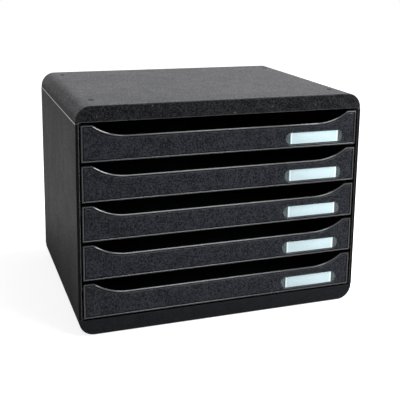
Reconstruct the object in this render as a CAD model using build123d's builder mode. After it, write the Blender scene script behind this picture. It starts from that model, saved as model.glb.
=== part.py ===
from build123d import *
import math
import os

# Desktop drawer organizer: a clipped casing of cover, base, two side panels and a back panel,
# with sliding drawers that each carry a card behind a clear window. Sizes are millimetres,
# +Z is up, the drawers open towards -Y, and the origin is on the table under the casing's middle.

# Casing
casing_width = 355.0
casing_depth = 270.0
cap_corner_radius = 18.0
cap_skirt = 1.5
cap_wall = 2.5
cap_front_round = 1.8
cap_rear_edge = 0.6
cap_lip_rise = 1.1
cap_lip_round = 0.6
panel_wall = 2.5
panel_proud = 0.5
panel_front_width = 4.0
panel_front_depth = 6.0
panel_outer_round = 1.6
panel_inner_edge = 0.5
foot_proud = 0.8

# Stiffening inside the cover and the base
cap_rib_thickness = 1.6
cap_rib_depth = 8.0
cap_ribs_along_depth = 3
cap_ribs_along_width = 2
deep_rib_relief = 0.3

# Clips between the side panels and the cover or base
tongue_thickness = 2.2
tongue_height = 6.0
tongue_inset = 1.3
tongue_end_gap = 4.0
tongue_clearance = 0.4
clip_count = 3
clip_window_length = 10.0
clip_window_height = 2.4
clip_window_start = 2.0
clip_reach = 0.9
clip_clearance = 0.3
rim_thickness = 2.0

# Back panel and the grooves that hold it
back_thickness = 2.2
back_clearance = 0.15
back_engagement = 3.1
back_tab_height = 4.0
back_tab_inset = 1.6
back_rib_thickness = 1.6
back_rib_height = 1.2
back_rib_count = 4
groove_cheek = 2.45

# Feet and stacking holes
foot_length = 18.0
foot_width = 12.0
foot_corner = 2.0
foot_recess = 1.2
foot_clearance = 0.2
foot_side_margin = 29.5
foot_end_margin = 27.0
stack_side_margin = 25.5
stack_front_margin = 37.0
stack_rear_margin = 29.0
stack_hole_radius = 1.8

# Drawer fronts
drawer_count = 5
front_height = 43.2
front_gap = 3.2
sill_gap = 2.2
head_gap = 2.4
front_side_gap = 2.1
front_thickness = 3.2
tab_width = 11.0
tab_outer_round = 2.2
tab_inner_round = 2.0
tab_band = 1.0
tab_slope_height = 3.5
tab_slope_depth = 1.2
scoop_depth = 14.0
scoop_radius = 68.0
bead_width = 2.0
bead_outer_edge = 0.8
bead_inner_edge = 0.4
moat_width = 0.9
moat_depth = 1.0
field_drop = 0.3
field_edge = 0.3

# Drawer trays
tray_wall = 1.8
tray_lift = 1.2
tray_height = 34.3
tray_top_gap = 1.5
tray_draft_angle = 2.8
tray_rear_gap = 4.1
tray_corner_radius = 10.0
tray_floor_edge = 2.0
flange_thickness = 1.8
flange_side_gap = 2.3
flange_rear = 2.0
gusset_length = 18.0
gusset_rise = 5.2
gusset_radius = 36.0

# Runners, hold-down rails and end stops
runner_thickness = 2.0
runner_width = 7.0
runner_clearance = 0.3
runner_front_gap = 0.5
runner_gusset_height = 6.0
runner_gusset_thickness = 1.6
runner_gusset_count = 2
rail_clearance = 0.3
rail_thickness = 1.2
rail_width = 6.4
lug_length = 6.0
lug_width = 2.1
lug_height = 2.6
lug_ramp = 3.0
drawer_travel = 198.0
stop_clearance = 0.3

# Label holders
label_side_margin = 17.8
label_centre_z = 11.9
card_length = 64.0
card_height = 13.5
card_thickness = 0.3
card_clearance = 0.3
card_slack = 0.15
window_length = 76.6
window_height = 15.6
window_thickness = 1.0
window_clearance = 0.15
pocket_bevel = 0.5

# Places worked out from the sizes above
half_width = casing_width / 2
front_y = -casing_depth / 2
rear_y = casing_depth / 2
cap_half_width = half_width - panel_proud
cap_height = cap_corner_radius + cap_skirt
base_seam_z = foot_proud + cap_height
sill_z = base_seam_z - cap_lip_rise
front_pitch = front_height + front_gap
first_front_z = sill_z + sill_gap
head_z = first_front_z + drawer_count * front_pitch - front_gap + head_gap
cover_seam_z = head_z - cap_lip_rise
casing_height = cover_seam_z + cap_height
panel_height = cover_seam_z - base_seam_z
panel_wall_x = half_width - panel_wall
panel_front_x = half_width - panel_front_width

back_rear_y = rear_y - cap_wall - back_clearance
back_front_y = back_rear_y - back_thickness
groove_x = panel_wall_x - back_engagement - back_clearance
cheek_front_y = back_front_y - back_clearance - groove_cheek

tongue_outer_x = cap_half_width - cap_wall - tongue_inset
tongue_inner_x = tongue_outer_x - tongue_thickness
tongue_front_y = front_y + panel_front_depth + tongue_end_gap
tongue_rear_y = cheek_front_y - tongue_end_gap
tongue_length = tongue_rear_y - tongue_front_y
clip_pitch = tongue_length / clip_count
clip_middle_y = (tongue_front_y + tongue_rear_y) / 2
channel_outer_x = tongue_inner_x - tongue_clearance

front_half_width = panel_front_x - front_side_gap
front_rear_y = front_y + front_thickness
scoop_rise = scoop_radius - scoop_depth
scoop_run = math.sqrt(scoop_radius**2 - scoop_rise**2)
scoop_flat_x = front_half_width - tab_width - scoop_run
moat_inset = bead_width + moat_width

runner_inner_x = panel_wall_x - runner_width
tray_half_width = runner_inner_x - tray_top_gap
tray_rear_y = cheek_front_y - tray_rear_gap
flange_half_width = panel_front_x - flange_side_gap
flange_top = tray_lift + tray_height
flange_bottom = flange_top - flange_thickness
runner_top = flange_bottom - runner_clearance
runner_front_y = front_rear_y + runner_front_gap
lug_front_y = tray_rear_y - lug_length
rail_rear_y = lug_front_y - drawer_travel - stop_clearance
rail_bottom = flange_top + rail_clearance

label_centre_x = front_half_width - label_side_margin - window_length / 2
field_y = front_y + field_drop
window_seat_y = field_y + window_thickness
card_seat_y = window_seat_y + card_slack + card_thickness

foot_x = half_width - foot_side_margin
foot_front_y = front_y + foot_end_margin
foot_rear_y = rear_y - foot_end_margin
foot_places = {
    "foot_front_left": (-foot_x, foot_front_y),
    "foot_front_right": (foot_x, foot_front_y),
    "foot_rear_left": (-foot_x, foot_rear_y),
    "foot_rear_right": (foot_x, foot_rear_y),
}
stack_front_y = front_y + stack_front_margin
stack_rear_y = rear_y - stack_rear_margin

front_plane = Plane.XZ.offset(-front_y)
field_plane = Plane.XZ.offset(-field_y)
front_heights = [first_front_z + front_pitch * (drawer_count - 1 - i) for i in range(drawer_count)]


def cap_profile(plane, inset):
    """Section of the cover across its width, from the seam up, drawn in by inset."""
    side = cap_half_width - inset
    top = cap_height - inset
    radius = cap_corner_radius - inset
    with BuildSketch(plane) as profile:
        with BuildLine():
            Line((-side, 0), (-side, top - radius))
            CenterArc((radius - side, top - radius), radius, 90, 90)
            Line((radius - side, top), (side - radius, top))
            CenterArc((side - radius, top - radius), radius, 0, 90)
            Line((side, top - radius), (side, 0))
            Line((side, 0), (-side, 0))
        make_face()
    return profile.sketch


def front_profile(plane, inset, tab_drop=0.0):
    """Outline of a drawer front with its finger scoop, drawn in by inset and lowered at the tabs."""
    side = front_half_width - inset
    top = front_height - inset - tab_drop
    radius = scoop_radius + inset
    scoop_z = front_height - scoop_depth - inset
    centre_z = front_height + scoop_rise
    run = math.sqrt(radius**2 - (centre_z - top) ** 2)
    sweep_angle = math.degrees(math.asin(run / radius))
    with BuildSketch(plane) as profile:
        with BuildLine():
            Line((-side, inset), (side, inset))
            Line((side, inset), (side, top))
            Line((side, top), (scoop_flat_x + run, top))
            CenterArc((scoop_flat_x, centre_z), radius, 270, sweep_angle)
            Line((scoop_flat_x, scoop_z), (-scoop_flat_x, scoop_z))
            CenterArc((-scoop_flat_x, centre_z), radius, 270 - sweep_angle, sweep_angle)
            Line((-scoop_flat_x - run, top), (-side, top))
            Line((-side, top), (-side, inset))
        make_face()
    return profile.sketch


def foot_outline(plane, places, grow):
    """Outlines of the feet at their places, grown all round."""
    with BuildSketch(plane) as outline:
        with Locations(*places):
            Rectangle(foot_length + 2 * grow, foot_width + 2 * grow)
        chamfer(outline.vertices(), foot_corner)
    return outline.sketch


def front_plate(plane):
    """Outline of the whole front with the tops of its tabs rounded."""
    with BuildSketch(plane) as plate:
        add(front_profile(Plane.XY, 0))
        tab_tops = plate.vertices().group_by(Axis.Y)[-1].sort_by(lambda v: abs(v.X))
        fillet(tab_tops[:2], tab_inner_round)
        tab_tops = plate.vertices().group_by(Axis.Y)[-1].sort_by(lambda v: abs(v.X))
        fillet(tab_tops[-2:], tab_outer_round)
    return plate.sketch


def tray_block(inset, depth):
    """Block under the tray's rim, drafted at its sides and rear, with rounded rear corners."""
    rim_plane = Plane.XY.offset(flange_top)
    with BuildPart() as block:
        with BuildSketch(rim_plane):
            with Locations((0, front_rear_y)):
                Rectangle(
                    2 * (tray_half_width - inset),
                    tray_rear_y - inset - front_rear_y,
                    align=(Align.CENTER, Align.MIN),
                )
        extrude(amount=-depth)
        walls = block.faces().filter_by(Axis.Z, reverse=True).sort_by(Axis.Y)[1:]
        draft(walls, rim_plane, -tray_draft_angle)
        rear_corners = block.faces().sort_by(Axis.Y)[-1].edges()
        fillet(rear_corners.filter_by(Axis.X, reverse=True), tray_corner_radius - inset)
    return block.part


def stadium(plane, grow):
    """Outline of the label window, grown all round."""
    with BuildSketch(plane) as outline:
        with Locations((label_centre_x, label_centre_z)):
            SlotOverall(window_length + 2 * grow, window_height + 2 * grow)
    return outline.sketch


# Solid form of the cover, with its seam at height 0
with BuildPart() as cap_block:
    extrude(cap_profile(front_plane, 0), amount=-casing_depth)
    front_rim = cap_block.faces().sort_by(Axis.Y)[0].edges()
    fillet(front_rim.filter_by(lambda e: e.center().Z > 0), cap_front_round)
    rear_rim = cap_block.faces().sort_by(Axis.Y)[-1].edges()
    chamfer(rear_rim.filter_by(lambda e: e.center().Z > 0), cap_rear_edge)

# Ribs that run down from the cover's skin, and the deeper ones beside tongues and back panel
with BuildPart() as cap_ribs:
    inner_width = 2 * (cap_half_width - cap_wall)
    with BuildSketch(Plane.XY.offset(cap_height - cap_wall - cap_rib_depth)):
        with GridLocations(inner_width / (cap_ribs_along_depth + 1), 0, cap_ribs_along_depth, 1):
            Rectangle(cap_rib_thickness, casing_depth - cap_wall)
        with GridLocations(0, casing_depth / (cap_ribs_along_width + 1), 1, cap_ribs_along_width):
            Rectangle(inner_width, cap_rib_thickness)
    extrude(amount=cap_height)
    with BuildSketch(Plane.XY.offset(deep_rib_relief)):
        with Locations((channel_outer_x, clip_middle_y)):
            Rectangle(cap_rib_thickness, tongue_length, align=(Align.MAX, Align.CENTER))
        with Locations((-channel_outer_x, clip_middle_y)):
            Rectangle(cap_rib_thickness, tongue_length, align=(Align.MIN, Align.CENTER))
        with Locations((0, back_front_y - back_clearance)):
            Rectangle(2 * channel_outer_x, cap_rib_thickness, align=(Align.CENTER, Align.MAX))
    extrude(amount=cap_height)
    add(cap_block.part, mode=Mode.INTERSECT)

# Wedges on the deep side ribs that snap into the tongues' windows
with BuildPart() as clip_wedges:
    clip_length = clip_window_length - 2 * clip_clearance
    clip_low = clip_window_start + clip_clearance
    clip_high = clip_window_start + clip_window_height - clip_clearance
    for k in range(clip_count):
        clip_y = tongue_front_y + clip_pitch * (k + 0.5)
        with BuildSketch(Plane.XZ.offset(-clip_y)):
            with BuildLine():
                Polyline(
                    (channel_outer_x - clip_clearance, clip_low),
                    (channel_outer_x + clip_reach, clip_high),
                    (channel_outer_x - clip_clearance, clip_high),
                    close=True,
                )
            make_face()
        extrude(amount=clip_length / 2, both=True)
    mirror(about=Plane.YZ)

# Shell shared by cover and base, seam at height 0
with BuildPart() as cap_shell:
    add(cap_block.part)
    extrude(
        cap_profile(Plane.XZ.offset(-front_y - cap_wall), cap_wall),
        amount=2 * cap_wall - casing_depth,
        mode=Mode.SUBTRACT,
    )
    with BuildSketch(front_plane):
        Rectangle(2 * panel_front_x, cap_lip_rise, align=(Align.CENTER, Align.MIN))
    extrude(amount=-cap_wall, mode=Mode.SUBTRACT)
    front_edges = cap_shell.faces().sort_by(Axis.Y)[0].edges().filter_by(Axis.X)
    fillet(front_edges.group_by(Axis.Z)[1], cap_lip_round)
    add(cap_ribs.part)
    add(clip_wedges.part)

# Top cover, with the four stacking holes
with BuildPart() as top_cover:
    with Locations((0, 0, cover_seam_z)):
        add(cap_shell.part)
    with Locations((0, (stack_front_y + stack_rear_y) / 2, casing_height)):
        with GridLocations(casing_width - 2 * stack_side_margin, stack_rear_y - stack_front_y, 2, 2):
            Hole(stack_hole_radius, depth=cap_wall + cap_rib_depth)
top_cover.part.label = "top_cover"

# Base, the same moulding turned over, with four recesses for the feet
with BuildPart() as base:
    with Locations((0, 0, base_seam_z)):
        add(mirror(cap_shell.part, about=Plane.XY, mode=Mode.PRIVATE))
    foot_recesses = foot_outline(Plane.XY.offset(foot_proud), foot_places.values(), foot_clearance)
    extrude(foot_recesses, amount=foot_recess, mode=Mode.SUBTRACT)
base.part.label = "base"

# Side panel: wall, front edge, rear cheeks with the back panel's groove, rims and tongues
with BuildPart() as right_side_panel:
    with BuildSketch(Plane.XY.offset(base_seam_z)) as panel_plan:
        with Locations((half_width, 0)):
            Rectangle(panel_wall, casing_depth, align=(Align.MAX, Align.CENTER))
        with Locations((half_width, front_y)):
            Rectangle(panel_front_width, panel_front_depth, align=(Align.MAX, Align.MIN))
        with Locations((groove_x, rear_y)):
            Rectangle(half_width - groove_x, rear_y - cheek_front_y, align=(Align.MIN, Align.MAX))
        with Locations((groove_x, back_front_y - back_clearance)):
            Rectangle(
                back_engagement + back_clearance,
                back_thickness + 2 * back_clearance,
                align=(Align.MIN, Align.MIN),
                mode=Mode.SUBTRACT,
            )
        front_corners = panel_plan.vertices().group_by(Axis.Y)[0].sort_by(Axis.X)
        fillet(front_corners[-1], panel_outer_round)
        front_corners = panel_plan.vertices().group_by(Axis.Y)[0].sort_by(Axis.X)
        chamfer(front_corners[0], panel_inner_edge)
        rear_corners = panel_plan.vertices().group_by(Axis.Y)[-1].sort_by(Axis.X)
        chamfer(rear_corners[-1], cap_rear_edge)
    extrude(amount=panel_height)

    rim_length = cheek_front_y - runner_front_y
    with BuildSketch(Plane.XY.offset(base_seam_z)) as rim_plan:
        with Locations((tongue_inner_x, runner_front_y)):
            Rectangle(half_width - panel_wall / 2 - tongue_inner_x, rim_length, align=(Align.MIN, Align.MIN))
    extrude(amount=rim_thickness)
    with BuildSketch(Plane.XY.offset(cover_seam_z)):
        add(rim_plan.sketch)
    extrude(amount=-rim_thickness)
    with BuildSketch(Plane.XY.offset(base_seam_z - tongue_height)):
        with Locations((tongue_inner_x, clip_middle_y)):
            Rectangle(tongue_thickness, tongue_length, align=(Align.MIN, Align.CENTER))
    extrude(amount=tongue_height + rim_thickness / 2)
    with BuildSketch(Plane.XY.offset(cover_seam_z + tongue_height)):
        with Locations((tongue_inner_x, clip_middle_y)):
            Rectangle(tongue_thickness, tongue_length, align=(Align.MIN, Align.CENTER))
    extrude(amount=-tongue_height - rim_thickness / 2)

    window_middle = clip_window_start + clip_window_height / 2
    with BuildSketch(Plane.YZ.offset(tongue_inner_x)):
        for window_z in (base_seam_z - window_middle, cover_seam_z + window_middle):
            with Locations((clip_middle_y, window_z)):
                with GridLocations(clip_pitch, 0, clip_count, 1):
                    Rectangle(clip_window_length, clip_window_height)
    extrude(amount=tongue_thickness, mode=Mode.SUBTRACT)

    for front_z in front_heights:
        with BuildSketch(Plane.XY.offset(front_z + runner_top)):
            with Locations((runner_inner_x, runner_front_y)):
                Rectangle(runner_width + panel_wall / 2, rim_length, align=(Align.MIN, Align.MIN))
        extrude(amount=-runner_thickness)
        with BuildSketch(Plane.XY.offset(front_z + rail_bottom)):
            with Locations((panel_wall_x - rail_width, runner_front_y)):
                Rectangle(
                    rail_width + panel_wall / 2, rail_rear_y - runner_front_y, align=(Align.MIN, Align.MIN)
                )
        extrude(amount=rail_thickness)
        gusset_top = front_z + runner_top - runner_thickness
        for k in range(runner_gusset_count):
            gusset_y = runner_front_y + rim_length * (k + 0.5) / runner_gusset_count
            with BuildSketch(Plane.XZ.offset(-gusset_y)):
                with BuildLine():
                    Polyline(
                        (runner_inner_x + runner_gusset_thickness, gusset_top),
                        (panel_wall_x, gusset_top),
                        (panel_wall_x, gusset_top - runner_gusset_height),
                        close=True,
                    )
                make_face()
            extrude(amount=runner_gusset_thickness / 2, both=True)
right_side_panel.part.label = "right_side_panel"

with BuildPart() as left_side_panel:
    mirror(right_side_panel.part, about=Plane.YZ)
left_side_panel.part.label = "left_side_panel"

# Back panel: its edges stand in the side panels' grooves, its tabs in the cover and the base
with BuildPart() as back_panel:
    back_middle_z = (base_seam_z + cover_seam_z) / 2
    back_side_x = panel_wall_x - back_clearance
    with BuildSketch(Plane.XZ.offset(-back_front_y)):
        with Locations((0, back_middle_z)):
            Rectangle(2 * back_side_x, panel_height - 2 * back_clearance)
            Rectangle(2 * (back_side_x - back_tab_inset), panel_height + 2 * back_tab_height)
    extrude(amount=-back_thickness)
    with BuildSketch(Plane.XZ.offset(-back_front_y)):
        with Locations((0, back_middle_z)):
            with GridLocations(2 * back_side_x / (back_rib_count + 1), 0, back_rib_count, 1):
                Rectangle(back_rib_thickness, panel_height - 2 * rim_thickness)
    extrude(amount=back_rib_height)
back_panel.part.label = "back_panel"

# Rubber feet, oblong pads with clipped corners
feet = []
for foot_name, foot_place in foot_places.items():
    with BuildPart() as foot:
        extrude(foot_outline(Plane.XY, [foot_place], 0), amount=foot_proud + foot_recess)
    foot.part.label = foot_name
    feet.append(foot.part)

# Raised field of a drawer front
with BuildPart() as front_field:
    extrude(front_profile(field_plane, moat_inset, tab_band), amount=-moat_depth)
    chamfer(front_field.faces().sort_by(Axis.Y)[0].edges(), field_edge)

# Drawer front: plate with an eased bead round its edge, moat inside the bead, the field, sloped tab
# tops, and the stepped pocket for card and window
with BuildPart() as front_moulding:
    extrude(front_plate(front_plane), amount=-front_thickness)
    chamfer(front_moulding.faces().sort_by(Axis.Y)[0].edges(), bead_outer_edge)
    extrude(front_profile(front_plane, bead_width, tab_band), amount=-moat_depth, mode=Mode.SUBTRACT)
    bead_face = front_moulding.faces().filter_by(Axis.Y).sort_by(Axis.Y)[0]
    chamfer(bead_face.inner_wires()[0].edges(), bead_inner_edge)
    add(front_field.part)
    with BuildSketch(Plane.YZ.offset(-front_half_width)):
        with BuildLine():
            Polyline(
                (front_y, front_height - tab_slope_height),
                (front_y + tab_slope_depth, front_height),
                (front_y, front_height),
                close=True,
            )
        make_face()
    extrude(amount=2 * front_half_width, mode=Mode.SUBTRACT)
    extrude(stadium(field_plane, window_clearance), amount=-window_thickness, mode=Mode.SUBTRACT)
    pocket_mouth = stadium(field_plane, window_clearance + pocket_bevel)
    extrude(pocket_mouth, amount=-pocket_bevel, taper=45, mode=Mode.SUBTRACT)
    with BuildSketch(Plane.XZ.offset(-window_seat_y)):
        with Locations((label_centre_x, label_centre_z)):
            Rectangle(card_length + 2 * card_clearance, card_height + 2 * card_clearance)
    extrude(amount=window_seat_y - card_seat_y, mode=Mode.SUBTRACT)

# Space inside a tray, with an eased edge round its floor
with BuildPart() as tray_cavity:
    add(tray_block(tray_wall, tray_height - tray_wall))
    chamfer(tray_cavity.faces().sort_by(Axis.Z)[0].edges(), tray_floor_edge)

# One drawer: drafted tray, side flanges, gussets behind the tabs, rear lugs, and the front
with BuildPart() as drawer_moulding:
    add(tray_block(0, tray_height))
    with BuildSketch(Plane.XY.offset(flange_top)) as flange_plan:
        with Locations((0, front_rear_y)):
            Rectangle(
                2 * flange_half_width,
                tray_rear_y + flange_rear - front_rear_y,
                align=(Align.CENTER, Align.MIN),
            )
        fillet(flange_plan.vertices().group_by(Axis.Y)[-1], tray_corner_radius)
    extrude(amount=-flange_thickness)
    with BuildSketch(Plane.YZ.offset(tray_half_width)):
        with BuildLine():
            Line((front_rear_y, flange_bottom), (front_rear_y, flange_top + gusset_rise))
            RadiusArc(
                (front_rear_y, flange_top + gusset_rise),
                (front_rear_y + gusset_length, flange_top),
                -gusset_radius,
            )
            Line((front_rear_y + gusset_length, flange_top), (front_rear_y + gusset_length, flange_bottom))
            Line((front_rear_y + gusset_length, flange_bottom), (front_rear_y, flange_bottom))
        make_face()
    extrude(amount=-tray_wall)
    with BuildSketch(Plane.YZ.offset(flange_half_width)):
        with BuildLine():
            Polyline(
                (lug_front_y, flange_bottom),
                (lug_front_y, flange_top + lug_height),
                (lug_front_y + lug_length - lug_ramp, flange_top + lug_height),
                (lug_front_y + lug_length, flange_top),
                (lug_front_y + lug_length, flange_bottom),
                close=True,
            )
        make_face()
    extrude(amount=-lug_width)
    mirror(about=Plane.YZ)
    add(tray_cavity.part, mode=Mode.SUBTRACT)
    add(front_moulding.part)

# Card and clear window for one drawer, the window seated on the pocket's step
with BuildPart() as card_blank:
    with BuildSketch(Plane.XZ.offset(-card_seat_y)):
        with Locations((label_centre_x, label_centre_z)):
            Rectangle(card_length, card_height)
    extrude(amount=card_thickness)

with BuildPart() as window_moulding:
    extrude(stadium(Plane.XZ.offset(-window_seat_y), 0), amount=window_thickness)

# The drawers from top to bottom, each with its card and window
drawers = []
cards = []
windows = []
for number, front_z in enumerate(front_heights, start=1):
    with BuildPart() as drawer:
        with Locations((0, 0, front_z)):
            add(drawer_moulding.part)
    drawer.part.label = f"drawer_{number}"
    drawers.append(drawer.part)
    with BuildPart() as label_card:
        with Locations((0, 0, front_z)):
            add(card_blank.part)
    label_card.part.label = f"label_card_{number}"
    cards.append(label_card.part)
    with BuildPart() as label_window:
        with Locations((0, 0, front_z)):
            add(window_moulding.part)
    label_window.part.label = f"label_window_{number}"
    windows.append(label_window.part)

os.makedirs("parts", exist_ok=True)
casing = [top_cover.part, base.part, left_side_panel.part, right_side_panel.part, back_panel.part]
for piece in casing + feet + drawers + cards + windows:
    export_step(piece, f"parts/{piece.label}.step")
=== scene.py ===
import logging
import math
from dataclasses import dataclass, field
from enum import Enum
from typing import Callable, Iterable

import bmesh
import bpy
from mathutils import Matrix, Vector


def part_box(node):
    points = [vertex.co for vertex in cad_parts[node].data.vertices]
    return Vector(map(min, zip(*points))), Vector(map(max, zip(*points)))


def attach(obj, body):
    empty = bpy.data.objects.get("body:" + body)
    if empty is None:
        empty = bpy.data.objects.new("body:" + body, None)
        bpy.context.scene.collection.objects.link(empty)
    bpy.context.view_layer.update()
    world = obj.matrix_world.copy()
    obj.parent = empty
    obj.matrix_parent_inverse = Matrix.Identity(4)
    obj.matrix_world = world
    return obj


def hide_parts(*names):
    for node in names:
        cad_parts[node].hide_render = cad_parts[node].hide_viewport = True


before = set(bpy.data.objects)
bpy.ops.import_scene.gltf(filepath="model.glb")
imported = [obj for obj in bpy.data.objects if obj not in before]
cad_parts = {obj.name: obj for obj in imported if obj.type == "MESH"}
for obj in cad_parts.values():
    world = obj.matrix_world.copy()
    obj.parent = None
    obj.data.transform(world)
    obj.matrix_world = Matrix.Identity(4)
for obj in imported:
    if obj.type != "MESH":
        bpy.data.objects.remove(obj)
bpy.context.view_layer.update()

# Metres throughout: +Z is up, the drawers open towards -Y, and the origin lies under the casing's middle.

MM = 0.001
MERGE = 0.001 * MM
FACING = 0.9
PHOTO_SIDE = 400.0
FRONT_PLATE = 3.2 * MM
WALL_TONGUE = 6.0 * MM
HOLE_SPACING = (304.0 * MM, 204.0 * MM)
HOLE_MIDDLE_Y = 4.0 * MM
HOLE_RADIUS = 1.8 * MM
DRAWER_NUMBERS = range(1, 6)
FOOT_NODES = ("foot_front_left", "foot_front_right", "foot_rear_left", "foot_rear_right")

Colour = tuple[float, float, float]
Point = tuple[float, float, float]
Socket = bpy.types.NodeSocket
WHITE: Colour = (1.0, 1.0, 1.0)
log = logging.getLogger("drawer_organizer")


def opaque(colour: Colour) -> tuple[float, float, float, float]:
    """Gives a colour its fourth value."""
    return (*colour, 1.0)


class NodePlan:
    """A shader node tree under construction, with short calls that add and join nodes."""

    # Numbers of the Mix node's sockets for each kind of value: share, first, second and result.
    MIX_SOCKETS = {"RGBA": (0, 6, 7, 2), "FLOAT": (0, 2, 3, 0)}

    def __init__(self, tree: bpy.types.NodeTree) -> None:
        """Takes over a node tree and empties it.

        Args:
            tree: The node tree of a material, a world or a group.
        """
        self.tree = tree
        tree.nodes.clear()

    def add(self, kind: str, inputs: dict | None = None, **settings: object) -> bpy.types.Node:
        """Adds a node.

        Args:
            kind: The node's type, without its leading ShaderNode.
            inputs: Values or sockets for its inputs, by name or number.
            settings: Properties of the node itself.

        Returns:
            The new node.
        """
        node = self.tree.nodes.new(kind if kind.startswith("Node") else "ShaderNode" + kind)
        for name, value in settings.items():
            setattr(node, name, value)
        for key, value in (inputs or {}).items():
            self.feed(node.inputs[key], value)
        return node

    def feed(self, socket: Socket, value: object) -> None:
        """Joins a socket to an input, or sets the input's own value.

        Args:
            socket: The input to feed.
            value: An output socket, a number or a colour.
        """
        if isinstance(value, Socket):
            self.tree.links.new(value, socket)
        else:
            socket.default_value = value

    def maths(self, operation: str, first: object, second: object = 0.0) -> Socket:
        """Joins two values by one operation of the Math node."""
        return self.add("Math", {0: first, 1: second}, operation=operation).outputs[0]

    def plus(self, first: object, second: object) -> Socket:
        """Adds two values."""
        return self.maths("ADD", first, second)

    def minus(self, first: object, second: object) -> Socket:
        """Takes the second value from the first."""
        return self.maths("SUBTRACT", first, second)

    def times(self, first: object, second: object) -> Socket:
        """Multiplies two values."""
        return self.maths("MULTIPLY", first, second)

    def weigh(self, first: object, second: object, share: float) -> Socket:
        """Adds two values, the first by its share and the second by the rest of 1."""
        return self.plus(self.times(first, share), self.times(second, 1.0 - share))

    def ramp(self, value: object, low: float, high: float, start: float = 0.0, end: float = 1.0) -> Socket:
        """Maps a value smoothly from one span to another.

        Args:
            value: The socket to map.
            low: Value at and below which the result is start.
            high: Value at and above which the result is end.
            start: Result at low.
            end: Result at high.

        Returns:
            The mapped value.
        """
        spans = {"Value": value, "From Min": low, "From Max": high, "To Min": start, "To Max": end}
        return self.add("MapRange", spans, interpolation_type="SMOOTHSTEP").outputs[0]

    def fall(self, value: object, low: float, high: float) -> Socket:
        """Maps a value smoothly from 1 at low to 0 at high."""
        return self.ramp(value, low, high, start=1.0, end=0.0)

    def mix(self, kind: str, share: object, first: object, second: object) -> Socket:
        """Adds a Mix node.

        Args:
            kind: Its data type.
            share: How far it goes from the first value to the second, from 0 to 1.
            first: Result at a share of 0.
            second: Result at a share of 1.

        Returns:
            The mixed value.
        """
        at_share, at_first, at_second, result = self.MIX_SOCKETS[kind]
        node = self.add("Mix", {at_share: share, at_first: first, at_second: second}, data_type=kind)
        return node.outputs[result]

    def blend(self, share: object, first: object, second: object) -> Socket:
        """Mixes two colours by a share from 0 to 1."""
        return self.mix("RGBA", share, first, second)

    def between(self, share: object, first: object, second: object) -> Socket:
        """Mixes two numbers by a share from 0 to 1."""
        return self.mix("FLOAT", share, first, second)

    def noise(
        self, place: Socket, scale: object, detail: float, roughness: float = 0.5, twist: float = 0.0
    ) -> Socket:
        """Adds a noise texture.

        Args:
            place: Coordinates it is read at.
            scale: Its scale, in cells a metre.
            detail: Its number of octaves.
            roughness: How much the finer octaves count.
            twist: Its distortion.

        Returns:
            Its value.
        """
        inputs = {
            "Vector": place,
            "Scale": scale,
            "Detail": detail,
            "Roughness": roughness,
            "Distortion": twist,
        }
        return self.add("TexNoise", inputs).outputs["Fac"]


class EffectGroup:
    """A node group with named number inputs and outputs, built once and placed in many materials."""

    def __init__(self, name: str, inputs: dict[str, float], outputs: Iterable[str]) -> None:
        """Makes the group's sockets.

        Args:
            name: The group's name.
            inputs: Its number inputs with their standing values.
            outputs: Its number outputs.
        """
        self.tree = bpy.data.node_groups.new(name, "ShaderNodeTree")
        for label, value in inputs.items():
            socket = self.tree.interface.new_socket(label, in_out="INPUT", socket_type="NodeSocketFloat")
            socket.default_value = value
        for label in outputs:
            self.tree.interface.new_socket(label, in_out="OUTPUT", socket_type="NodeSocketFloat")
        self.plan = NodePlan(self.tree)
        self.source = self.plan.add("NodeGroupInput")
        self.place = self.plan.add("TexCoord").outputs["Object"]

    def give(self, results: dict[str, object]) -> None:
        """Feeds the group's outputs.

        Args:
            results: The value of each output, by name.
        """
        sink = self.plan.add("NodeGroupOutput")
        for label, value in results.items():
            self.plan.feed(sink.inputs[label], value)

    def put_in(self, plan: NodePlan, **values: float) -> bpy.types.Node:
        """Places the group in a material.

        Args:
            plan: The material's node tree.
            values: The group's inputs there.

        Returns:
            The group's node.
        """
        node = plan.add("Group", node_tree=self.tree)
        for label, value in values.items():
            plan.feed(node.inputs[label], value)
        return node


class MouldGrain(EffectGroup):
    """Spark-eroded mould grain: low rounded pebbles, a finer grit and a mottle of colour and gloss."""

    PEBBLE_SPAN = (0.12, 0.75)
    PEBBLE_HEIGHT = 0.6
    CLOUDS = 60.0
    CLOUD_SHARE = 0.15
    BLOTCH_SPAN = (0.40, 0.60)
    BLOTCH_SHARE = 0.6
    MOTTLE_SPAN = (0.15, 0.85)

    def __init__(self) -> None:
        """Builds the group."""
        super().__init__("mould_grain", {"Pebbles": 560.0, "Grit": 2200.0}, ("Height", "Mottle"))
        plan = self.plan
        cells = {"Vector": self.place, "Scale": self.source.outputs["Pebbles"], "Randomness": 1.0}
        distance = plan.add("TexVoronoi", cells, feature="F1").outputs["Distance"]
        pebbles = plan.fall(distance, *self.PEBBLE_SPAN)
        grit = plan.noise(self.place, self.source.outputs["Grit"], detail=4.0, roughness=0.7)
        height = plan.weigh(pebbles, grit, self.PEBBLE_HEIGHT)
        clouds = plan.noise(self.place, self.CLOUDS, detail=4.0, roughness=0.6)
        blotches = plan.noise(self.place, self.source.outputs["Pebbles"], detail=5.0, roughness=0.8)
        blotches = plan.ramp(plan.weigh(clouds, blotches, self.CLOUD_SHARE), *self.BLOTCH_SPAN)
        mottle = plan.weigh(blotches, pebbles, self.BLOTCH_SHARE)
        self.give({"Height": height, "Mottle": plan.ramp(mottle, *self.MOTTLE_SPAN)})


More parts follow.
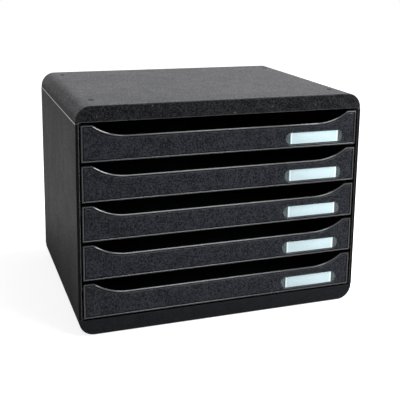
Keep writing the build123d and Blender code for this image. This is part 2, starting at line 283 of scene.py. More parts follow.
class HandlingMarks(EffectGroup):
    """Marks of use: wiped patches, hairline scratches, and dust on faces that look up."""

    WIPES = 13.0
    WIPE_SPAN = (0.35, 0.65)
    HAIRLINES = 120.0
    HAIRLINE_SPAN = (0.74, 0.78)
    COMB_TURN = (0.5, 0.9, 0.7)
    COMB_STRETCH = (1.0, 16.0, 1.0)
    SPECKS = 310.0
    FILM_SPAN = (0.41, 0.63)
    LEAST_FILM = 0.22
    DUST_SLOPE = 0.75

    def __init__(self) -> None:
        """Builds the group."""
        super().__init__("handling_marks", {"Dust": 0.2}, ("Wiped", "Scratch", "Dust"))
        plan = self.plan
        wiped = plan.noise(self.place, self.WIPES, detail=3.0, twist=0.8)
        comb = {"Vector": self.place, "Rotation": self.COMB_TURN, "Scale": self.COMB_STRETCH}
        combed = plan.add("Mapping", comb).outputs[0]
        hairlines = plan.noise(combed, self.HAIRLINES, detail=1.0, twist=0.2)
        normal = plan.add("SeparateXYZ", {0: plan.add("NewGeometry").outputs["Normal"]})
        specks = plan.noise(self.place, self.SPECKS, detail=6.0, roughness=0.8)
        film = plan.ramp(specks, *self.FILM_SPAN, start=self.LEAST_FILM)
        settled = plan.times(film, plan.ramp(normal.outputs["Z"], self.DUST_SLOPE, 1.0))
        self.give(
            {
                "Wiped": plan.ramp(wiped, *self.WIPE_SPAN),
                "Scratch": plan.ramp(hairlines, *self.HAIRLINE_SPAN),
                "Dust": plan.times(settled, self.source.outputs["Dust"]),
            }
        )


class FrontZones(EffectGroup):
    """Tells the parts of a drawer front apart by depth: grained field, polished bead, moat and pocket, and
    the sunk faces that get painted shade.
    """

    FLAT_SPAN = (0.85, 0.97)
    FACING_SPAN = (0.4, 0.5)
    EDGE = 0.06 * MM
    BEAD_DEPTH = 0.5 * MM
    POCKET_DEPTH = 0.85 * MM
    POCKET_END = (1.19 * MM, 1.275 * MM)
    FAR_POLISH = 0.75

    def __init__(self) -> None:
        """Builds the group."""
        outputs = ("Grained", "Polished", "Sunk shade", "Pocket")
        super().__init__("front_zones", {"Field": 0.0, "Back": 0.0}, outputs)
        plan = self.plan
        depth = plan.add("SeparateXYZ", {0: self.place}).outputs["Y"]
        normal = plan.add("SeparateXYZ", {0: plan.add("NewGeometry").outputs["Normal"]}).outputs["Y"]
        forward = plan.times(normal, -1.0)
        flat = plan.ramp(forward, *self.FLAT_SPAN)
        facing = plan.ramp(forward, *self.FACING_SPAN)
        past_field = plan.minus(depth, self.source.outputs["Field"])
        off_field = plan.maths("ABSOLUTE", past_field)
        grained = plan.times(plan.fall(off_field, self.EDGE, 3 * self.EDGE), flat)
        raised = plan.fall(past_field, self.BEAD_DEPTH, self.BEAD_DEPTH + self.EDGE)
        before_moat = plan.times(raised, facing)
        behind = plan.minus(depth, self.source.outputs["Back"])
        before_back = plan.fall(behind, -self.EDGE, self.EDGE)
        nearer = plan.ramp(past_field, 0.0, 2 * self.EDGE, start=1.0, end=self.FAR_POLISH)
        bare = plan.times(nearer, plan.minus(1.0, grained))
        polished = plan.times(before_moat, bare)
        deeper = plan.ramp(past_field, self.POCKET_DEPTH, self.POCKET_DEPTH + self.EDGE)
        shallower = plan.fall(past_field, *self.POCKET_END)
        pocket = plan.times(plan.times(deeper, shallower), flat)
        # Sunk shade: the moat and faces turned away, painted near black as shade.
        sunk_shade = plan.minus(plan.minus(before_back, before_moat), pocket)
        self.give({"Grained": grained, "Polished": polished, "Sunk shade": sunk_shade, "Pocket": pocket})


class WallZones(EffectGroup):
    """Painted top light that darkens downwards, soft cloudiness and a painted rim highlight of a side
    wall's outer face.
    """

    HIGHLIGHT_REACH = 1.0 * MM
    FULL_HIGHLIGHT_REACH = 0.6 * MM
    SKIN = 0.2 * MM
    CLOUDS = 55.0
    CLOUD_DRAW = (1.0, 1.0, 0.4)
    CLOUD_SHARE = 0.35
    SPECKS = 300.0
    UNEVEN_SPAN = (0.42, 0.58)
    DARK_BELOW = -0.15
    FULL_ABOVE = 0.6

    def __init__(self) -> None:
        """Builds the group."""
        super().__init__("wall_zones", {"Head": 1.0, "Half width": 1.0}, ("Fade", "Uneven", "Painted rim highlight"))
        plan = self.plan
        place = plan.add("SeparateXYZ", {0: self.place})
        head = self.source.outputs["Head"]
        share = plan.maths("DIVIDE", place.outputs["Z"], head)
        short = plan.minus(head, place.outputs["Z"])
        across = plan.maths("ABSOLUTE", place.outputs["X"])
        reach = plan.minus(self.source.outputs["Half width"], across)
        outer = plan.fall(reach, self.SKIN, 2 * self.SKIN)
        drawn = plan.add("Mapping", {"Vector": self.place, "Scale": self.CLOUD_DRAW}).outputs[0]
        clouds = plan.noise(drawn, self.CLOUDS, detail=4.0, roughness=0.6)
        specks = plan.noise(self.place, self.SPECKS, detail=5.0, roughness=0.75)
        uneven = plan.ramp(plan.weigh(clouds, specks, self.CLOUD_SHARE), *self.UNEVEN_SPAN)
        # Painted highlight along the upper rim of the outer face.
        painted_reflection = plan.times(plan.fall(short, self.FULL_HIGHLIGHT_REACH, self.HIGHLIGHT_REACH), outer)
        # Painted light: lighter towards the top, darker downwards.
        painted_top_light = plan.times(plan.ramp(share, self.DARK_BELOW, self.FULL_ABOVE), outer)
        self.give({"Fade": painted_top_light, "Uneven": uneven, "Painted rim highlight": painted_reflection})


class HoleZones(EffectGroup):
    """Painted shade round the four stacking holes and inside them."""

    DARK_TO = 1.5
    UNSHADED_FROM = 2.1

    def __init__(self) -> None:
        """Builds the group."""
        inputs = {"Across": 0.0, "Along": 0.0, "Middle": 0.0, "Radius": 1.0}
        super().__init__("hole_zones", inputs, ("Ring",))
        plan = self.plan
        centre = self.source.outputs
        place = plan.add("SeparateXYZ", {0: self.place})
        across = plan.minus(plan.maths("ABSOLUTE", place.outputs["X"]), centre["Across"])
        along = plan.maths("ABSOLUTE", plan.minus(place.outputs["Y"], centre["Middle"]))
        along = plan.minus(along, centre["Along"])
        squares = plan.plus(plan.times(across, across), plan.times(along, along))
        share = plan.maths("DIVIDE", plan.maths("SQRT", squares), centre["Radius"])
        self.give({"Ring": plan.fall(share, self.DARK_TO, self.UNSHADED_FROM)})


class Effects:
    """The shared effects, built once."""

    def __init__(self) -> None:
        """Builds every group."""
        self.grain = MouldGrain()
        self.marks = HandlingMarks()
        self.front = FrontZones()
        self.wall = WallZones()
        self.holes = HoleZones()


class Zone(Enum):
    """How a finish changes over a moulding."""

    ALL_OVER = "the same all over"
    # Drawer front: painted shade in the moat and sunk faces, painted sheen on the bead, painted reflection
    # in the label pocket.
    DRAWER_FRONT = "grained field and polished bead"
    # Side wall: painted light that darkens downwards and a painted highlight on its rim.
    SIDE_WALL = "fading downwards, with a rubbed rim"
    PIERCED_TOP = "shaded round the stacking holes"


@dataclass
class Shares:
    """Shares from 0 to 1, as numbers or sockets, of what a finish does at a point."""

    grained: object = 1.0
    polished: object = 0.0
    accent: object = 0.0
    painted_reflection: object = 0.0
    shaded: object = 0.0


@dataclass(frozen=True)
class MouldedPlastic:
    """Dark injection-moulded plastic with mould grain, eased edges and light marks of use, with painted
    edge highlights and, by zone, painted light and painted shade.
    """

    name: str
    deep: Colour
    light: Colour
    roughness: float
    specular: float
    grain_depth: float
    zone: Zone = Zone.ALL_OVER
    # Painted light tone: sheen on a drawer's bead, or the lighter top of a side wall.
    accent: Colour = (0.038, 0.040, 0.044)
    # Painted reflection tone: highlight on a side wall's rim, or the window's reflection in a drawer's
    # label pocket.
    painted_reflection: Colour = (0.55, 0.55, 0.56)
    polished_roughness: float = 0.15
    satin_roughness: float = 0.45
    unevenness: float = 0.16
    pebbles: float = 560.0
    grit: float = 2200.0
    dust: float = 0.2
    edge_round: float = 0.45 * MM
    # Eased edges take the worn tone: partly edge wear, partly a painted edge highlight. The worn tone also
    # colours scratches.
    edge_highlight_and_wear: float = 0.3
    worn: Colour = (0.055, 0.055, 0.058)
    lit_edge_span: tuple[float, float] = (0.90, 0.992)
    scratch_share: float = 0.2
    wiped_gloss: float = 0.04
    smooth_span: tuple[float, float] = (0.3, 0.5)
    cloudiness: float = 0.35
    coat_ior: float = 1.5
    edge_samples: int = 4
    dust_tone: Colour = (0.16, 0.155, 0.15)
    shade: Colour = (0.0012, 0.0013, 0.0015)

    def material(self, effects: Effects) -> bpy.types.Material:
        """Builds the finish.

        Args:
            effects: The shared node groups.

        Returns:
            The material.
        """
        made = bpy.data.materials.new(self.name)
        made.use_nodes = True
        plan = NodePlan(made.node_tree)
        grain = effects.grain.put_in(plan, Pebbles=self.pebbles, Grit=self.grit)
        marks = effects.marks.put_in(plan, Dust=self.dust)
        shares = self.shares(plan, effects)

        eased = plan.add("Bevel", {"Radius": self.edge_round}, samples=self.edge_samples).outputs[0]
        true_normal = plan.add("NewGeometry").outputs["Normal"]
        along = plan.add("VectorMath", {0: eased, 1: true_normal}, operation="DOT_PRODUCT").outputs["Value"]
        # Painted edge highlight and edge wear where the eased normal leans away from the true one.
        lit_and_rubbed_edge = plan.ramp(along, *self.lit_edge_span, self.edge_highlight_and_wear, 0.0)

        smooth = plan.ramp(marks.outputs["Wiped"], 0.0, 1.0, *self.smooth_span)
        mottle = plan.between(shares.grained, smooth, grain.outputs["Mottle"])
        tone = plan.blend(mottle, opaque(self.deep), opaque(self.light))
        # Painted light: sheen on a drawer's bead and the lighter top of a side wall.
        tone = plan.blend(shares.accent, tone, opaque(self.accent))
        tone = plan.blend(lit_and_rubbed_edge, tone, opaque(self.worn))
        scratched = plan.times(marks.outputs["Scratch"], self.scratch_share)
        tone = plan.blend(scratched, tone, opaque(self.worn))
        tone = plan.blend(marks.outputs["Dust"], tone, opaque(self.dust_tone))
        # Painted reflection: highlight on a side wall's rim, window reflection on a drawer's pocket floor.
        tone = plan.blend(shares.painted_reflection, tone, opaque(self.painted_reflection))
        # Painted shade: near black in the moat, on sunk faces and round the stacking holes.
        tone = plan.blend(shares.shaded, tone, opaque(self.shade))

        roughness = plan.between(shares.grained, self.satin_roughness, self.roughness)
        uneven = plan.times(plan.minus(0.5, grain.outputs["Mottle"]), self.unevenness)
        wiping = plan.times(marks.outputs["Wiped"], -self.wiped_gloss)
        roughness = plan.plus(roughness, plan.plus(uneven, wiping))
        roughness = plan.between(shares.polished, roughness, self.polished_roughness)
        roughness = plan.between(shares.shaded, roughness, 1.0)

        height = plan.times(grain.outputs["Height"], shares.grained)
        relief = {"Strength": 1.0, "Distance": self.grain_depth, "Height": height, "Normal": eased}
        shader = plan.add(
            "BsdfPrincipled",
            {
                "Base Color": tone,
                "Roughness": roughness,
                "Normal": plan.add("Bump", relief).outputs[0],
                "Specular IOR Level": self.specular,
                "Coat Weight": shares.polished,
                "Coat Roughness": self.polished_roughness,
                "Coat IOR": self.coat_ior,
                "Coat Normal": eased,
            },
        )
        plan.add("OutputMaterial", {"Surface": shader.outputs[0]})
        return made

    def shares(self, plan: NodePlan, effects: Effects) -> Shares:
        """Finds where the finish changes.

        Args:
            plan: The material's node tree.
            effects: The shared node groups.

        Returns:
            The shares of each change.
        """
        if self.zone is Zone.DRAWER_FRONT:
            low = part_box("drawer_1")[0]
            levels = {"Field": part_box("label_window_1")[0].y, "Back": low.y + FRONT_PLATE}
            front = effects.front.put_in(plan, **levels).outputs
            polished = front["Polished"]
            # Painted sheen on the bead, painted reflection of the window on the pocket floor, painted shade
            # in the moat and sunk faces.
            return Shares(front["Grained"], polished, polished, painted_reflection=front["Pocket"], shaded=front["Sunk shade"])
        if self.zone is Zone.SIDE_WALL:
            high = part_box("right_side_panel")[1]
            levels = {"Head": high.z - WALL_TONGUE, "Half width": high.x}
            wall = effects.wall.put_in(plan, **levels).outputs
            # Painted light towards the top that darkens downwards, and a painted rim highlight.
            clouded = plan.times(wall["Fade"], wall["Uneven"])
            return Shares(accent=plan.between(self.cloudiness, wall["Fade"], clouded), painted_reflection=wall["Painted rim highlight"])
        if self.zone is Zone.PIERCED_TOP:
            centre = {"Across": HOLE_SPACING[0] / 2, "Along": HOLE_SPACING[1] / 2, "Middle": HOLE_MIDDLE_Y}
            holes = effects.holes.put_in(plan, Radius=HOLE_RADIUS, **centre).outputs
            # Painted shade: near black round the stacking holes.
            return Shares(shaded=holes["Ring"])
        return Shares()


@dataclass(frozen=True)
class ClearPlastic:
    """Polished clear plastic of the label windows."""

    name: str
    tint: Colour
    roughness: float
    specular: float = 0.3
    ior: float = 1.38
    wiped_haze: float = 0.02
    scratch_haze: float = 0.04

    def material(self, effects: Effects) -> bpy.types.Material:
        """Builds the finish, with faint finger marks in its gloss.

        Args:
            effects: The shared node groups.

        Returns:
            The material.
        """
        made = bpy.data.materials.new(self.name)
        made.use_nodes = True
        plan = NodePlan(made.node_tree)
        marks = effects.marks.put_in(plan, Dust=0.0)
        haze = plan.times(marks.outputs["Wiped"], self.wiped_haze)
        haze = plan.plus(haze, plan.times(marks.outputs["Scratch"], self.scratch_haze))
        clear = plan.add(
            "BsdfPrincipled",
            {
                "Base Color": opaque(self.tint),
                "Roughness": plan.plus(haze, self.roughness),
                "IOR": self.ior,
                "Transmission Weight": 1.0,
                "Specular IOR Level": self.specular,
            },
        )
        open_to_light = plan.add("BsdfTransparent", {"Color": opaque(self.tint)})
        passes = plan.add("LightPath").outputs["Is Shadow Ray"]
        shader = plan.add("MixShader", {0: passes, 1: clear.outputs[0], 2: open_to_light.outputs[0]})
        plan.add("OutputMaterial", {"Surface": shader.outputs[0]})
        return made


@dataclass(frozen=True)
class CoatedCard:
    """Coated card with a faint fibre."""

    name: str
    paper: Colour
    fibre: Colour
    bare_end: Colour
    end_length: float = 2.4 * MM
    end_fade: float = 0.72 * MM
    fibre_scale: float = 900.0
    fibre_stretch: Point = (1.0, 1.0, 4.0)
    fibre_span: tuple[float, float] = (0.4, 0.7)
    fibre_share: float = 0.7
    fibre_height: float = 0.02 * MM
    relief: float = 0.5
    wiped_share: float = 0.3
    roughness: tuple[float, float] = (0.5, 0.62)
    specular: float = 0.4

    def material(self, effects: Effects) -> bpy.types.Material:
        """Builds the finish, with the card's ends paler than its middle.

        Args:
            effects: The shared node groups.

        Returns:
            The material.
        """
        low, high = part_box("label_card_1")
        made = bpy.data.materials.new(self.name)
        made.use_nodes = True
        plan = NodePlan(made.node_tree)
        place = plan.add("TexCoord").outputs["Object"]
        laid = plan.add("Mapping", {"Vector": place, "Scale": self.fibre_stretch}).outputs[0]
        fibres = plan.noise(laid, self.fibre_scale, detail=5.0, roughness=0.6)
        marks = effects.marks.put_in(plan, Dust=0.0)
        worn = plan.times(marks.outputs["Wiped"], self.wiped_share)
        share = plan.plus(plan.ramp(fibres, *self.fibre_span, end=self.fibre_share), worn)
        across = plan.add("SeparateXYZ", {0: place}).outputs["X"]
        off_middle = plan.maths("ABSOLUTE", plan.minus(across, (low.x + high.x) / 2))
        end_start = (high.x - low.x) / 2 - self.end_length
        ends = plan.ramp(off_middle, end_start, end_start + self.end_fade)
        relief = {"Strength": self.relief, "Distance": self.fibre_height, "Height": fibres}
        tone = plan.blend(share, opaque(self.paper), opaque(self.fibre))
        shader = plan.add(
            "BsdfPrincipled",
            {
                "Base Color": plan.blend(ends, tone, opaque(self.bare_end)),
                "Roughness": plan.between(share, *self.roughness),
                "Normal": plan.add("Bump", relief).outputs[0],
                "Specular IOR Level": self.specular,
            },
        )
        plan.add("OutputMaterial", {"Surface": shader.outputs[0]})
        return made


class Bench:
    """Modelling operators used as by hand, on one piece at a time."""

    @staticmethod
    def clear() -> None:
        """Leaves edit mode and deselects everything."""
        active = bpy.context.view_layer.objects.active
        if active is not None and active.mode != "OBJECT":
            bpy.ops.object.mode_set(mode="OBJECT")
        bpy.ops.object.select_all(action="DESELECT")

    @staticmethod
    def pick(piece: bpy.types.Object) -> None:
        """Makes one piece the only selected and active one.

        Args:
            piece: The piece.
        """
        Bench.clear()
        piece.select_set(True)
        bpy.context.view_layer.objects.active = piece

    @staticmethod
    def block(low: Vector, high: Vector) -> bpy.types.Object:
        """Adds a block between two corners and goes into edit mode.

        Args:
            low: Its lowest corner.
            high: Its highest corner.

        Returns:
            The block, with its object at the origin.
        """
        Bench.clear()
        bpy.ops.mesh.primitive_cube_add(size=1.0, location=(low + high) / 2, scale=high - low)
        bpy.ops.object.transform_apply(location=True, rotation=True, scale=True)
        bpy.ops.object.mode_set(mode="EDIT")
        return bpy.context.object

    @staticmethod
    def choose_faces(piece: bpy.types.Object, wanted: Callable[[bmesh.types.BMFace], bool]) -> None:
        """Selects faces in edit mode, and nothing else.

        Args:
            piece: The piece in edit mode.
            wanted: Says of a face whether it is selected.
        """
        bpy.ops.mesh.select_mode(type="FACE")
        bpy.ops.mesh.select_all(action="DESELECT")
        mesh = bmesh.from_edit_mesh(piece.data)
        for face in [f for f in mesh.faces if wanted(f)]:
            face.select_set(True)
        bmesh.update_edit_mesh(piece.data)

    @staticmethod
    def choose_edges(piece: bpy.types.Object, wanted: Callable[[bmesh.types.BMEdge], bool]) -> None:
        """Selects edges in edit mode, and nothing else.

        Args:
            piece: The piece in edit mode.
            wanted: Says of an edge whether it is selected.
        """
        bpy.ops.mesh.select_mode(type="EDGE")
        bpy.ops.mesh.select_all(action="DESELECT")
        mesh = bmesh.from_edit_mesh(piece.data)
        for edge in [e for e in mesh.edges if wanted(e)]:
            edge.select_set(True)
        bmesh.update_edit_mesh(piece.data)

    @staticmethod
    def shape(piece: bpy.types.Object, name: str, smooth_angle: float = 35.0) -> bpy.types.Object:
        """Ends the modelling: applies modifiers and place, turns the faces outwards and shades them.

        Args:
            piece: The piece.
            name: Its final name.
            smooth_angle: Largest angle in degrees that is shaded smooth.

        Returns:
            The piece.
        """
        Bench.pick(piece)
        for modifier in list(piece.modifiers):
            bpy.ops.object.modifier_apply(modifier=modifier.name)
        bpy.ops.object.transform_apply(location=True, rotation=True, scale=True)
        bpy.ops.object.mode_set(mode="EDIT")
        bpy.ops.mesh.select_all(action="SELECT")
        bpy.ops.mesh.remove_doubles(threshold=MERGE)
        bpy.ops.mesh.normals_make_consistent(inside=False)
        bpy.ops.object.mode_set(mode="OBJECT")
        bpy.ops.object.shade_smooth_by_angle(angle=math.radians(smooth_angle))
        piece.name = name
        piece.data.name = name
        return piece


@dataclass
class LabelHolder:
    """The clear window and the card of one drawer."""

    number: int
    rim_round: float = 0.4 * MM
    rim_segments: int = 4
    end_vertices: int = 96
    chamber_margin: float = 0.5 * MM
    chamber_depth: float = 0.12 * MM
    flat_angle: float = 1.0
    card_corner: float = 0.7 * MM
    card_corner_segments: int = 5
    card_edge: float = 0.06 * MM
    card_edge_segments: int = 2
    pieces: list[bpy.types.Object] = field(default_factory=list)

    @property
    def body(self) -> str:
        """The body that both pieces ride on."""
        return f"drawer_{self.number}_body"

    def build(self, window_finish: bpy.types.Material, card_finish: bpy.types.Material) -> None:
        """Builds and dresses both pieces, and hangs them on their drawer.

        Args:
            window_finish: Material of the window.
            card_finish: Material of the card.
        """
        for piece, node, finish in (
            (self.window(), f"label_window_{self.number}", window_finish),
            (self.card(), f"label_card_{self.number}", card_finish),
        ):
            piece.data.materials.clear()
            piece.data.materials.append(finish)
            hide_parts(node)
            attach(piece, self.body)
            self.pieces.append(piece)

    def window(self) -> bpy.types.Object:
        """Models the window: a round-ended lens with a rolled rim and a shallow chamber behind it.

        Returns:
            The window.
        """
        low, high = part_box(f"label_window_{self.number}")
        radius = (high.z - low.z) / 2
        middle = (low + high) / 2
        end_x = low.x + radius
        Bench.clear()
        bpy.ops.mesh.primitive_cylinder_add(
            vertices=self.end_vertices,
            radius=radius,
            depth=high.y - low.y,
            location=(end_x, middle.y, middle.z),
            rotation=(math.radians(90), 0, 0),
        )
        window = bpy.context.object
        bpy.ops.object.transform_apply(location=True, rotation=True, scale=True)
        bpy.ops.object.mode_set(mode="EDIT")
        bpy.ops.mesh.select_all(action="SELECT")
        bpy.ops.mesh.bisect(
            plane_co=(end_x, middle.y, middle.z), plane_no=(1, 0, 0), clear_outer=True, use_fill=True
        )
        Bench.choose_faces(window, lambda f: f.normal.x > FACING)
        bpy.ops.mesh.extrude_region_move(TRANSFORM_OT_translate={"value": (middle.x - end_x, 0, 0)})
        bpy.ops.mesh.delete(type="FACE")
        bpy.ops.object.mode_set(mode="OBJECT")
        window.data.transform(Matrix.Translation(-middle))
        window.location = middle
        twin = window.modifiers.new("other_half", "MIRROR")
        twin.merge_threshold = MERGE
        Bench.shape(window, f"label_window_lens_{self.number}")

        bpy.ops.object.mode_set(mode="EDIT")
        for side in (-1, 1):
            Bench.choose_faces(window, lambda f: side * f.normal.y > FACING)
            bpy.ops.mesh.dissolve_limited(angle_limit=math.radians(self.flat_angle))
        Bench.choose_faces(window, lambda f: f.normal.y > FACING)
        bpy.ops.mesh.inset(thickness=self.chamber_margin, depth=0)
        bpy.ops.mesh.inset(thickness=self.chamber_depth, depth=-self.chamber_depth)
        front = low.y + MERGE
        Bench.choose_edges(window, lambda e: all(v.co.y < front for v in e.verts))
        bpy.ops.mesh.bevel(offset=self.rim_round, segments=self.rim_segments, profile=0.5, affect="EDGES")
        bpy.ops.object.mode_set(mode="OBJECT")
        return Bench.shape(window, f"label_window_lens_{self.number}")

    def card(self) -> bpy.types.Object:
        """Models the card: die-cut with rounded corners and a thin eased edge.

        Returns:
            The card.
        """
        card = Bench.block(*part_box(f"label_card_{self.number}"))
        Bench.choose_edges(card, lambda e: abs((e.verts[0].co - e.verts[1].co).normalized().y) > FACING)
        bpy.ops.mesh.bevel(offset=self.card_corner, segments=self.card_corner_segments, affect="EDGES")
        Bench.choose_faces(card, lambda f: f.normal.y < -FACING)
        bpy.ops.mesh.bevel(offset=self.card_edge, segments=self.card_edge_segments, affect="EDGES")
        bpy.ops.object.mode_set(mode="OBJECT")
        return Bench.shape(card, f"label_card_die_cut_{self.number}")


@dataclass
class RubberFoot:
    """One rubber foot with eased edges and grip grooves across its sole."""

    node: str
    corner: float = 2.0 * MM
    corner_segments: int = 6
    sole_round: float = 0.3 * MM
    sole_segments: int = 3
    groove_count: int = 3
    groove_width: float = 1.2 * MM
    groove_depth: float = 0.35 * MM
    groove_slope: float = 0.3 * MM

    def build(self, finish: bpy.types.Material) -> bpy.types.Object:
        """Builds and dresses the foot, and sets it on the casing.

        Args:
            finish: Material of the foot.

        Returns:
            The foot.
        """
        low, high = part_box(self.node)
        foot = Bench.block(low, high)
        Bench.choose_edges(foot, lambda e: abs((e.verts[0].co - e.verts[1].co).normalized().z) > FACING)
        bpy.ops.mesh.bevel(offset=self.corner, segments=self.corner_segments, affect="EDGES")
        Bench.choose_faces(foot, lambda f: f.normal.z < -FACING)
        bpy.ops.mesh.bevel(offset=self.sole_round, segments=self.sole_segments, affect="EDGES")
        pitch = (high.x - low.x) / (self.groove_count + 1)
        for number in range(self.groove_count):
            middle_x = low.x + pitch * (number + 1)
            for side in (-0.5, 0.5):
                bpy.ops.mesh.select_all(action="SELECT")
                at = (middle_x + side * self.groove_width, low.y, low.z)
                bpy.ops.mesh.bisect(plane_co=at, plane_no=(1, 0, 0))
            reach = self.groove_width / 2
            Bench.choose_faces(
                foot, lambda f: f.normal.z < -FACING and abs(f.calc_center_median().x - middle_x) < reach
            )
            bpy.ops.mesh.inset(thickness=self.groove_slope, depth=-self.groove_depth)
        bpy.ops.object.mode_set(mode="OBJECT")
        Bench.shape(foot, f"{self.node}_pad")
        foot.data.materials.clear()
        foot.data.materials.append(finish)
        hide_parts(self.node)
        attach(foot, "casing")
        return foot


@dataclass
class Mouldings:
    """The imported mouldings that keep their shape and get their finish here."""

    cover: MouldedPlastic = MouldedPlastic(
        "cover_grained_black",
        (0.0020, 0.0020, 0.0024),
        (0.0310, 0.0318, 0.0360),
        roughness=0.46,
        specular=0.06,
        grain_depth=0.16 * MM,
        zone=Zone.PIERCED_TOP,
        edge_round=0.9 * MM,
        # Strong painted highlight along the eased edges.
        edge_highlight_and_wear=0.9,
        worn=(0.30, 0.30, 0.31),
        dust=0.5,
        dust_tone=(0.20, 0.199, 0.212),
    )
    base: MouldedPlastic = MouldedPlastic(
        "base_fine_black",
        (0.0085, 0.0095, 0.0112),
        (0.0165, 0.0184, 0.0212),
        roughness=0.46,
        specular=0.04,
        grain_depth=0.05 * MM,
    )
    side: MouldedPlastic = MouldedPlastic(
        "side_satin_black",
        (0.0050, 0.0048, 0.0048),
        (0.0090, 0.0086, 0.0086),
        roughness=0.52,
        specular=0.03,
        grain_depth=0.03 * MM,
        zone=Zone.SIDE_WALL,
        # Painted top light tone and painted rim highlight tone.
        accent=(0.058, 0.0550, 0.0558),
        painted_reflection=(0.76, 0.79, 0.80),
        edge_round=0.7 * MM,
        # Painted highlight along the eased edges.
        edge_highlight_and_wear=0.9,
        worn=(0.22, 0.22, 0.22),
    )
    back: MouldedPlastic = MouldedPlastic(
        "back_satin_black",
        (0.0090, 0.0090, 0.0092),
        (0.0150, 0.0150, 0.0155),
        roughness=0.50,
        specular=0.15,
        grain_depth=0.04 * MM,
    )
    drawer: MouldedPlastic = MouldedPlastic(
        "drawer_field_and_bead",
        (0.0090, 0.0102, 0.0130),
        (0.0440, 0.0472, 0.0565),
        roughness=0.48,
        specular=0.04,
        grain_depth=0.12 * MM,
        zone=Zone.DRAWER_FRONT,
        # Painted reflection of the window on the label pocket's floor.
        painted_reflection=(0.045, 0.064, 0.069),
        edge_round=0.6 * MM,
    )

    def dress(self, effects: Effects) -> None:
        """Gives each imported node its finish.

        Args:
            effects: The shared node groups.
        """
        side = self.side.material(effects)
        finishes = {
            "top_cover": self.cover.material(effects),
            "base": self.base.material(effects),
            "left_side_panel": side,
            "right_side_panel": side,
            "back_panel": self.back.material(effects),
        }
        drawer = self.drawer.material(effects)
        finishes.update({f"drawer_{number}": drawer for number in DRAWER_NUMBERS})
        for node, finish in finishes.items():
            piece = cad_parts[node]
            piece.data.materials.clear()
            piece.data.materials.append(finish)
            log.info("%s: finish %s", node, finish.name)


@dataclass(frozen=True)
class Softbox:
    """A rectangular studio lamp that the camera doesn't see."""

    name: str
    place: Point
    aim: Point
    width: float
    height: float
    power: float
    tint: Colour = WHITE

    def build(self) -> None:
        """Adds the lamp to the scene."""
        data = bpy.data.lights.new(self.name, "AREA")
        data.shape = "RECTANGLE"
        data.size = self.width
        data.size_y = self.height
        data.energy = self.power
        data.color = self.tint
        lamp = bpy.data.objects.new(self.name, data)
        place = Vector(self.place)
        turn = (Vector(self.aim) - place).to_track_quat("-Z", "Y")
        lamp.matrix_world = Matrix.Translation(place) @ turn.to_matrix().to_4x4()
        lamp.visible_camera = False
        bpy.context.scene.collection.objects.link(lamp)


@dataclass
class Studio:
    """Pale floor, white surroundings and soft lamps."""

    floor_side: float = 12.0
    floor_tone: Colour = (0.86, 0.86, 0.86)
    floor_roughness: float = 0.9
    floor_lift: float = 0.75
    far_lift: float = 0.87
    near_floor: float = 0.7
    far_floor: float = 2.4
    world_tone: Colour = WHITE
    world_strength: float = 0.17
    lamps: tuple[Softbox, ...] = (
        Softbox(
            "overhead_softbox",
            place=(0.5, -0.75, 1.75),
            aim=(0.0, -0.05, 0.15),
            width=0.6,
            height=0.55,
            power=9.5,
            tint=(0.93, 0.99, 1.0),
        ),
        Softbox(
            "right_softbox",
            place=(1.25, -0.27, 1.42),
            aim=(0.0, -0.1, 0.15),
            width=0.6,
            height=1.0,
            power=36.0,
        ),
        Softbox(
            "left_softbox",
            place=(-1.3, 0.15, 0.55),
            aim=(0.0, 0.0, 0.12),
            width=0.7,
            height=0.5,
            power=4.0,
        ),
        Softbox(
            "near_softbox",
            place=(0.55, -0.50, 0.42),
            aim=(0.0, -0.1, 0.15),
            width=0.3,
            height=0.3,
            power=1.6,
        ),
    )

    def build(self) -> None:
        """Builds floor, world and lamps, and sets the plain view transform."""
        bpy.context.scene.view_settings.view_transform = "Standard"
        self.build_floor()
        self.build_world()
        for lamp in self.lamps:
            lamp.build()

    @staticmethod
    def seen_directly(plan: NodePlan) -> Socket:
        """Masks camera, glossy and transmission rays, which see the white surroundings.

        Args:
            plan: The world's node tree.

        Returns:
            The mask.
        """
        path = plan.add("LightPath")
        first = plan.maths("MAXIMUM", path.outputs["Is Camera Ray"], path.outputs["Is Glossy Ray"])
        return plan.maths("MAXIMUM", first, path.outputs["Is Transmission Ray"])

    def build_floor(self) -> None:
        """Builds the pale floor, lifted to white for the camera."""
        Bench.clear()
        bpy.ops.mesh.primitive_plane_add(size=self.floor_side)
        floor = bpy.context.object
        floor.name = "studio_floor"
        made = bpy.data.materials.new("floor_paper")
        made.use_nodes = True
        plan = NodePlan(made.node_tree)
        place = plan.add("TexCoord").outputs["Object"]
        away = plan.add("VectorMath", {0: place}, operation="LENGTH").outputs["Value"]
        lift = plan.ramp(away, self.near_floor, self.far_floor, self.floor_lift, self.far_lift)
        paper = plan.add(
            "BsdfPrincipled",
            {
                "Base Color": opaque(self.floor_tone),
                "Roughness": self.floor_roughness,
                "Specular IOR Level": 0.0,
                "Emission Color": opaque(WHITE),
                "Emission Strength": plan.times(plan.add("LightPath").outputs["Is Camera Ray"], lift),
            },
        )
        plan.add("OutputMaterial", {"Surface": paper.outputs[0]})
        floor.data.materials.append(made)

    def build_world(self) -> None:
        """Builds the surroundings: white where they are seen, dimmer where they only light."""
        world = bpy.data.worlds.new("white_studio")
        world.use_nodes = True
        bpy.context.scene.world = world
        plan = NodePlan(world.node_tree)
        strength = plan.between(self.seen_directly(plan), self.world_strength, 1.0)
        surroundings = plan.add("Background", {"Color": opaque(self.world_tone), "Strength": strength})
        plan.add("OutputWorld", {"Surface": surroundings.outputs[0]})


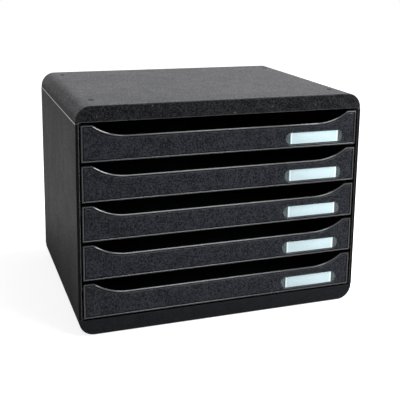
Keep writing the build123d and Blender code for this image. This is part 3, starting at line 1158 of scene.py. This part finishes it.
@dataclass(frozen=True)
class PhotoCamera:
    """The photograph's viewpoint, from a perspective fit of the casing's edges."""

    place: Point = (-319.54 * MM, -962.41 * MM, 426.93 * MM)
    turn: float = 19.784
    drop: float = 11.507
    roll: float = 0.869
    focal_pixels: float = 776.27
    centre_pixel: tuple[float, float] = (209.46, 120.0)
    sensor: float = 36.0
    near_clip: float = 0.01

    def build(self) -> None:
        """Adds the camera and makes it the scene's."""
        turn, drop, roll = (math.radians(angle) for angle in (self.turn, self.drop, self.roll))
        ahead = Vector((math.sin(turn) * math.cos(drop), math.cos(turn) * math.cos(drop), -math.sin(drop)))
        level_right = ahead.cross(Vector((0, 0, 1))).normalized()
        level_up = level_right.cross(ahead)
        right = math.cos(roll) * level_right + math.sin(roll) * level_up
        up = math.cos(roll) * level_up - math.sin(roll) * level_right
        data = bpy.data.cameras.new("photo_camera")
        data.sensor_fit = "HORIZONTAL"
        data.sensor_width = self.sensor
        data.lens = self.focal_pixels / PHOTO_SIDE * self.sensor
        data.shift_x = (PHOTO_SIDE / 2 - self.centre_pixel[0]) / PHOTO_SIDE
        data.shift_y = (self.centre_pixel[1] - PHOTO_SIDE / 2) / PHOTO_SIDE
        data.clip_start = self.near_clip
        data.dof.use_dof = False
        camera = bpy.data.objects.new("photo_camera", data)
        pose = Matrix((right, up, -ahead)).transposed().to_4x4()
        pose.translation = Vector(self.place)
        camera.matrix_world = pose
        bpy.context.scene.collection.objects.link(camera)
        bpy.context.scene.camera = camera


WINDOW_FINISH = ClearPlastic("window_clear", tint=(0.93, 0.97, 0.97), roughness=0.01)
CARD_FINISH = CoatedCard(
    "card_coated_white",
    paper=(0.57, 0.650, 0.690),
    fibre=(0.52, 0.605, 0.645),
    bare_end=(0.80, 0.86, 0.87),
)
RUBBER_FINISH = MouldedPlastic(
    "foot_rubber_matt",
    (0.012, 0.012, 0.012),
    (0.022, 0.022, 0.022),
    roughness=0.78,
    specular=0.25,
    grain_depth=0.05 * MM,
)


def main() -> None:
    """Builds the organizer's looks around its frame."""
    logging.basicConfig(level=logging.INFO, format="%(name)s: %(message)s")
    PhotoCamera().build()
    Studio().build()
    effects = Effects()
    Mouldings().dress(effects)
    window_finish = WINDOW_FINISH.material(effects)
    card_finish = CARD_FINISH.material(effects)
    for number in DRAWER_NUMBERS:
        holder = LabelHolder(number)
        holder.build(window_finish, card_finish)
        log.info("drawer %d: %s", number, ", ".join(piece.name for piece in holder.pieces))
    rubber = RUBBER_FINISH.material(effects)
    for node in FOOT_NODES:
        log.info("%s", RubberFoot(node).build(rubber).name)


if __name__ == "__main__":
    main()
